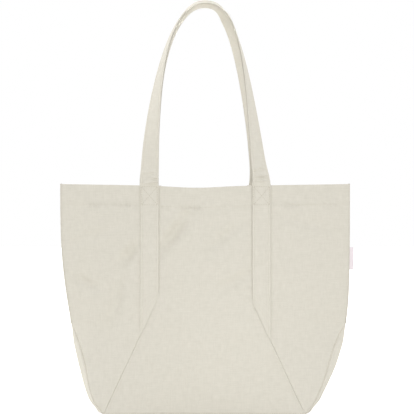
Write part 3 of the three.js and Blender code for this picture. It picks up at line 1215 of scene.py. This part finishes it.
@dataclass
class StitchWork:
    """Rows of lockstitches in one piece. Each stitch is a short, flattened thread that dips at its ends."""

    name: str
    pitch: float = 3.6 * MM
    length: float = 2.9 * MM
    width: float = 0.62 * MM
    height: float = 0.36 * MM
    dip: float = 0.2 * MM
    ring_places: tuple[float, ...] = (-0.5, -0.36, 0.0, 0.36, 0.5)  # along a stitch, as shares of its length
    ring_rises: tuple[float, ...] = (-1.0, 0.1, 0.35, 0.1, -1.0)  # out of the cloth, as shares of the dip
    ring_sizes: tuple[float, ...] = (0.55, 1.0, 1.0, 1.0, 0.55)  # as shares of the width and height
    sides: int = 6
    rows: list[tuple[Array, Array]] = field(default_factory=list)

    def add(self, line: Array, outward: Array) -> None:
        """Adds a row of stitches along a line, with the direction out of the cloth at each of its points."""
        self.rows.append((line, unit(outward)))

    def stitch(self) -> tuple[Array, Array]:
        """One stitch lying along an axis.

        Returns:
            Place along, across and out of the cloth for each point, and the faces.
        """
        rings = np.array((self.ring_places, self.ring_rises, self.ring_sizes))
        places, rises, sizes = rings[:, :, None]
        angle = np.arange(self.sides) * 2.0 * np.pi / self.sides
        across = sizes * self.width / 2 * np.cos(angle)
        out = rises * self.dip + sizes * self.height / 2 * np.sin(angle)
        points = together(places * self.length, across, out)
        return points.reshape(-1, 3), grid_quads(len(places), self.sides, closed=True)

    def frames(self) -> tuple[Array, Array, Array]:
        """Middle, direction along and direction out of the cloth of every stitch."""
        middles, alongs, outs = [], [], []
        for line, outward in self.rows:
            run = run_along(line)
            count = max(1, int(run[-1] / self.pitch))
            centre = (np.arange(count) + 0.5) * run[-1] / count
            behind, ahead = (along_line(centre + end * self.length, run, line) for end in (-0.5, 0.5))
            middles.append(along_line(centre, run, line))
            alongs.append(unit(ahead - behind))
            outs.append(unit(along_line(centre, run, outward)))
        return np.concatenate(middles), np.concatenate(alongs), np.concatenate(outs)

    def build(self, finish: Material) -> Object:
        """Makes the stitches and dresses them."""
        template, quads = self.stitch()
        middle, along, out = self.frames()
        across = unit(np.cross(out, along))
        out = np.cross(along, across)
        axes = np.stack((along, across, out), axis=1)
        points = middle[:, None] + np.einsum("pk,nkx->npx", template, axes)
        starts = np.arange(len(middle)) * len(template)
        faces = (quads[None] + starts[:, None, None]).reshape(-1, 4)
        ring = np.arange(self.sides)
        caps = np.stack((ring[::-1], ring + len(template) - self.sides))
        caps = (caps[None] + starts[:, None, None]).reshape(-1, self.sides)
        obj = make_object(self.name, points, [faces, caps])
        dress(obj, finish)
        return obj


@dataclass
class Sewing:
    """Every row of stitches on one face of the bag."""

    shape: BagShape
    slack: Slack
    handle: Handle
    lift: float = 0.05 * MM
    probe: float = 1 * MM  # depth of the second line that shows the direction out of the cloth
    box_inset: float = 2.2 * MM
    box_height: float = 31 * MM
    seam_inset: float = 4 * MM
    seam_low: float = 8 * MM  # where the diagonal rows start above the floor
    seam_high: float = 6 * MM  # where they stop below the strap
    hem_tuck: float = 1 * MM  # where the hem's rows stop beside the straps
    hem_end: float = 6 * MM  # where they stop beside the side seams
    dense: int = 400  # points along a row on the cloth
    stroke_points: int = 40  # points along each stroke of a box and cross

    @property
    def face(self) -> Face:
        """The face that the rows lie on."""
        return self.handle.face

    def strap_rows(self, work: StitchWork) -> None:
        """Edge stitching along both edges of the strap, on its outer face and on the loop's inner face."""
        for edge in (-1.0, 1.0):
            b = np.array([edge * self.handle.stitch_line])
            h = self.handle.swell(b) + self.lift
            work.add(*self.line_and_outward(self.handle.place, b, h))
            work.add(*self.line_and_outward(self.handle.loop, b, -h))

    @staticmethod
    def line_and_outward(place: Callable[[Array, Array], Array], b: Array, h: Array) -> tuple[Array, Array]:
        """A line along the strap, and the direction out of the strap along it."""
        line = place(b, h)[:, 0]
        return line, line - place(b, 0.0 * h)[:, 0]

    def box_rows(self, work: StitchWork) -> None:
        """Box and cross on each leg at the hem."""
        wide = self.handle.half - self.box_inset
        high = self.handle.top - self.box_inset
        low = high - self.box_height
        corners = [(-wide, high), (wide, high), (wide, low), (-wide, low), (-wide, high), (wide, low)]
        strokes = [*zip(corners[:-1], corners[1:]), ((wide, high), (-wide, low))]
        share = np.linspace(0.0, 1.0, self.stroke_points)
        for side in Side:
            for (b0, z0), (b1, z1) in strokes:
                b = lerp(b0, b1, share)
                z = lerp(z0, z1, share)
                thickness = (self.handle.thickness / 2 + self.handle.swell(b)) * self.handle.pressed(z)
                self.wall_row(work, self.handle.leg_x(side, b), z, self.handle.seat + thickness + self.lift)

    def wall_row(self, work: StitchWork, x: Array, z: Array, out: Array) -> None:
        """A row on the face or on what lies on it, along places x and z."""
        height = self.slack.broad(x, z, self.face) + out
        line, behind = (self.shape.face_point(x, z, self.face, height - sink) for sink in (0.0, self.probe))
        work.add(line, line - behind)

    def hem_rows(self, work: StitchWork) -> None:
        """The hem's stitching between the straps, and from the straps to the side seams."""
        inner = self.shape.strap_inner - self.hem_tuck
        outer = self.shape.strap_inner + self.shape.strap_width + self.hem_tuck
        end = self.shape.mouth_width / 2 - self.hem_end
        aside = self.handle.shift
        spans = ((-end, aside - outer), (aside - inner, aside + inner), (aside + outer, end))
        for start, stop in spans:
            x = np.linspace(start, stop, self.dense)
            z = self.shape.rim(x) - self.slack.hem_line
            self.wall_row(work, x, z, self.slack.relief(x, z, self.face) + self.lift)

    def seam_rows(self, work: StitchWork) -> None:
        """Topstitching on the centre panel beside the two diagonal seams."""
        z = np.linspace(self.seam_low, self.shape.strap_seam_height - self.seam_high, self.dense)
        inset = self.seam_inset * self.shape.diagonal_lean
        for side in Side:
            x = side * (self.shape.seam_x(z) - inset)
            self.wall_row(work, x, z, self.slack.relief(x, z, self.face) + self.lift)

    def build(self, finishes: Finishes) -> None:
        """Makes the strap's stitches, the box stitches and the panels' stitches as three pieces."""
        word = self.face.word
        strap = StitchWork(f"{word}_strap_thread")
        self.strap_rows(strap)
        self.handle.bend(strap.build(finishes.thread))
        box = StitchWork(f"{word}_box_thread")
        self.box_rows(box)
        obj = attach(box.build(finishes.box_thread), "bag")
        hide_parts(f"{word}_left_box_stitch", f"{word}_right_box_stitch")
        panel = StitchWork(f"{word}_panel_thread")
        self.hem_rows(panel)
        self.seam_rows(panel)
        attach(panel.build(finishes.thread), "bag")


# Label


@dataclass
class Label:
    """Blank ribbon folded in two, with its ends caught in the right side seam."""

    shape: BagShape
    width: float = 8 * MM
    height: float = 38 * MM
    centre: float = 260 * MM
    layer: float = 0.22 * MM
    half_gap: float = 0.35 * MM
    curl: float = 0.9 * MM
    start: float = 0.15 * MM
    bend_room: float = 3 * MM  # width beside the seam where the ribbon bends as it turns
    rows: int = 20
    straight_points: int = 12
    fold_points: int = 7

    def hinge(self, obj: Object) -> None:
        """Bakes the ribbon's transform into its mesh."""
        right = float(Side.RIGHT)
        low, high = (self.shape.half_width(self.centre + end * self.height, right) for end in (-0.5, 0.5))
        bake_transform(obj)

    def build(self, finishes: Finishes) -> None:
        """Makes the ribbon, out along the front, round its fold and back along the rear, and dresses it."""
        straight = np.linspace(self.start, self.width - self.half_gap, self.straight_points)
        angle = np.linspace(-np.pi / 2, np.pi / 2, self.fold_points + 2)[1:-1]
        level = np.ones(straight.shape)
        reach = np.concatenate((straight, straight[-1] + self.half_gap * np.cos(angle), straight[::-1]))
        depth = np.concatenate((-level, np.sin(angle), level)) * self.half_gap
        share = np.linspace(-0.5, 0.5, self.rows)[:, None]
        z = self.centre + share * self.height
        seam = self.shape.half_width(z, float(Side.RIGHT))
        bow = self.curl * (reach / self.width) ** 2 * np.sin(np.pi * share)
        points = together(seam + reach, depth + bow, z)
        run = run_along(together(reach, depth))
        quads = grid_quads(*points.shape[:2])
        obj = make_object("label_ribbon", points, [quads], together(run, z))
        thicken(obj, self.layer)
        dress(obj, finishes.satin)
        self.hinge(obj)
        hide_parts("side_label")


# Studio


@dataclass(frozen=True)
class AreaLamp:
    """A square soft light that points at a place on the bag."""

    name: str
    place: tuple[float, float, float]
    aim: tuple[float, float, float]
    size: float
    power: float
    spread: float = 180.0  # angle of the beam, in degrees

    def build(self) -> None:
        """Adds the lamp to the scene."""
        data = bpy.data.lights.new(self.name, "AREA")
        data.size = self.size
        data.energy = self.power
        data.spread = math.radians(self.spread)
        obj = bpy.data.objects.new(self.name, data)
        obj.location = self.place
        direction = Vector(self.aim) - Vector(self.place)
        obj.rotation_euler = direction.to_track_quat("-Z", "Y").to_euler()
        bpy.context.scene.collection.objects.link(obj)


@dataclass
class Studio:
    """White floor and background, soft lights and the photo's camera: level, straight on and from far off."""

    camera_place: tuple[float, float, float] = (4.65 * MM, -3.0, 348.6 * MM)
    lens: float = 151.3
    ambient: float = 0.698
    backdrop: float = 1.0  # strength of the background for the camera
    floor_colour: str = "#f4f3f0"
    floor_roughness: float = 0.9
    floor_glow: float = 0.75
    floor_drop: float = 0.3 * MM
    floor_reach: float = 12.0
    lamps: tuple[AreaLamp, ...] = (
        AreaLamp("left key", (-1.7, -2.2, 2.1), (0.0, 0.0, 0.3), 1.0, 8.9),
        AreaLamp("right key", (1.4, -2.4, 2.1), (0.0, 0.0, 0.2), 1.0, 15.5),
        AreaLamp("left side", (-2.45, 0.75, 0.55), (0.0, 0.0, 0.5), 1.0, 18.0),
        AreaLamp("right side", (2.3, 0.9, 0.35), (0.1, 0.0, 0.25), 0.8, 9.0),
        AreaLamp("top", (-0.3, 0.6, 3.0), (0.0, 0.0, 0.5), 1.2, 22.0),
        AreaLamp("table glow", (0.09, -0.38, 0.04), (0.06, -0.07, 0.08), 0.3, 0.13),
        AreaLamp("handle glow", (0.3, -0.85, 0.15), (-0.01, 0.0, 0.74), 0.08, 0.018, 11.0),
    )

    @staticmethod
    def strength(tree: Tree, lighting: float, seen: float) -> Socket:
        """One strength for rays that light the bag, and one for rays seen straight or in a gleam."""
        path = add_node(tree, "ShaderNodeLightPath", {}).outputs
        straight = math_node(tree, "MAXIMUM", path["Is Camera Ray"], path["Is Glossy Ray"])
        share = math_node(tree, "MAXIMUM", straight, path["Is Transmission Ray"])
        return add_node(tree, "ShaderNodeMapRange", {0: share, 3: lighting, 4: seen}).outputs[0]

    def build_world(self) -> None:
        """White to the camera, and an even soft light for the bag."""
        world = bpy.data.worlds.new("studio")
        world.use_nodes = True
        tree = world.node_tree
        strength = self.strength(tree, self.ambient, self.backdrop)
        set_inputs(tree, tree.nodes["Background"], {"Color": WHITE, "Strength": strength})
        bpy.context.scene.world = world

    def build_floor(self) -> None:
        """A pale floor that is lifted to white for the camera and keeps the bag's shadow."""
        x, y = self.floor_reach * np.array([(-1, 1, 1, -1), (-1, -1, 1, 1)])
        floor = make_object("floor", together(x, y, -self.floor_drop), [np.arange(4)[None]])
        material, tree, shader = new_material("pale studio floor")
        looks = {
            "Base Color": linear_colour(self.floor_colour),
            "Roughness": self.floor_roughness,
            "Emission Color": WHITE,
            "Emission Strength": self.strength(tree, 0.0, self.floor_glow),
        }
        set_inputs(tree, shader, looks)
        floor.data.materials.append(material)

    def build(self) -> None:
        """Makes the camera, the lights, the floor and the background."""
        camera = bpy.data.objects.new("camera", bpy.data.cameras.new("camera"))
        camera.data.lens = self.lens
        camera.location = self.camera_place
        camera.rotation_euler = (math.pi / 2, 0.0, 0.0)
        bpy.context.scene.collection.objects.link(camera)
        bpy.context.scene.camera = camera
        bpy.context.scene.view_settings.view_transform = "Standard"
        for lamp in self.lamps:
            lamp.build()
        self.build_world()
        self.build_floor()


# Folds: x, z, slant, length, width and height
FRONT_FOLDS = (
    SoftFold(-52 * MM, 305 * MM, 52.0, 80 * MM, 10 * MM, -10.0 * MM),
    SoftFold(-30 * MM, 297 * MM, 50.0, 70 * MM, 9 * MM, 1.4 * MM),
    SoftFold(-31 * MM, 337 * MM, 12.0, 22 * MM, 2.5 * MM, -1.8 * MM),
    SoftFold(30 * MM, 296 * MM, 40.0, 70 * MM, 9 * MM, -5.4 * MM),
    SoftFold(-128 * MM, 269 * MM, 47.0, 50 * MM, 9 * MM, -8.0 * MM),
    SoftFold(-190 * MM, 300 * MM, 20.0, 80 * MM, 9 * MM, -3.4 * MM),
    SoftFold(-202 * MM, 219 * MM, -20.0, 50 * MM, 8 * MM, -5.5 * MM),
    SoftFold(-150 * MM, 190 * MM, 78.0, 100 * MM, 12 * MM, -6.5 * MM),
    SoftFold(52 * MM, 224 * MM, 30.0, 55 * MM, 8 * MM, -5.0 * MM),
    SoftFold(170 * MM, 322 * MM, -14.0, 90 * MM, 9 * MM, -2.2 * MM),
)
BACK_FOLDS = (
    SoftFold(40 * MM, 314 * MM, -48.0, 80 * MM, 7 * MM, -3.0 * MM),
    SoftFold(-30 * MM, 300 * MM, 40.0, 70 * MM, 8 * MM, -2.0 * MM),
    SoftFold(-150 * MM, 300 * MM, 20.0, 90 * MM, 9 * MM, -1.6 * MM),
)
# Creases: side, height, place, slope, length and depth
FRONT_CREASES = (
    StrapCrease(Side.LEFT, 3 * MM, 5 * MM, 0.1, 24 * MM, 5.4 * MM),
    StrapCrease(Side.LEFT, 11.5 * MM, 9 * MM, 0.0, 14 * MM, 4.2 * MM),
    StrapCrease(Side.LEFT, 21 * MM, 0 * MM, 0.1, 20 * MM, 2.4 * MM),
    StrapCrease(Side.RIGHT, 6 * MM, 3 * MM, 0.05, 18 * MM, 5.6 * MM),
    StrapCrease(Side.RIGHT, 14.5 * MM, 2 * MM, -0.05, 20 * MM, 5.6 * MM),
    StrapCrease(Side.RIGHT, 28 * MM, 4 * MM, -0.4, 20 * MM, 2.6 * MM),
)
BACK_CREASES = (
    StrapCrease(Side.LEFT, 5 * MM, -3 * MM, -0.1, 22 * MM, 1.6 * MM),
    StrapCrease(Side.LEFT, 17 * MM, 4 * MM, 0.1, 20 * MM, 1.4 * MM),
    StrapCrease(Side.RIGHT, 4 * MM, 2 * MM, 0.05, 22 * MM, 1.6 * MM),
    StrapCrease(Side.RIGHT, 14 * MM, -5 * MM, -0.1, 18 * MM, 1.7 * MM),
)


def main() -> None:
    """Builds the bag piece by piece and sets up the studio."""
    logging.basicConfig(level=logging.INFO, format="%(message)s")
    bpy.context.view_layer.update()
    shape = BagShape()
    finishes = Finishes(
        canvas=CanvasFinish().build(),
        strap=CanvasFinish("pressed cotton canvas", weave_strength=0.12).build(),
        thread=ThreadFinish().build(),
        box_thread=ThreadFinish("heavy cotton sewing thread", deep="#c1bbab", pale="#cfc9ba").build(),
        satin=SatinFinish().build(),
    )
    BasePanel(shape).build(finishes)
    slacks = {Face.FRONT: Slack(shape, FRONT_FOLDS), Face.BACK: Slack(shape, BACK_FOLDS)}
    handles = {
        Face.FRONT: Handle(
            shape,
            slacks[Face.FRONT],
            Face.FRONT,
            left=LegForm(foot_twist=0.0, twist=86.7, ease=1.57, bow=-1.7 * MM, bow_power=3.07),
            right=LegForm(foot_twist=28.0, twist=94.4, ease=1.32, bow=-8.0 * MM, bow_power=0.86),
            top_twist=76.5,
            rise=314.5 * MM,
            arch_power=1.06,
            arch_shoulder=0.89,
            shift=2.1 * MM,
            top_shift=0.3 * MM,
            creases=FRONT_CREASES,
        ),
        Face.BACK: Handle(
            shape,
            slacks[Face.BACK],
            Face.BACK,
            left=LegForm(foot_twist=6.0, twist=83.7, ease=2.06, bow=-5.6 * MM, bow_power=2.13),
            right=LegForm(foot_twist=38.0, twist=65.5, ease=2.09, bow=-2.2 * MM, bow_power=1.57),
            top_twist=84.0,
            rise=312.5 * MM,
            arch_power=1.525,
            arch_shoulder=0.825,
            shift=-2.0 * MM,
            top_shift=2.8 * MM,
            creases=BACK_CREASES,
        ),
    }
    for face in Face:
        CentrePanel(shape, slacks[face], face).build(finishes)
        for side in Side:
            SidePanel(shape, slacks[face], face, side=side).build(finishes)
        handles[face].build(finishes)
        Sewing(shape, slacks[face], handles[face]).build(finishes)
    Label(shape).build(finishes)
    Studio().build()


if __name__ == "__main__":
    main()
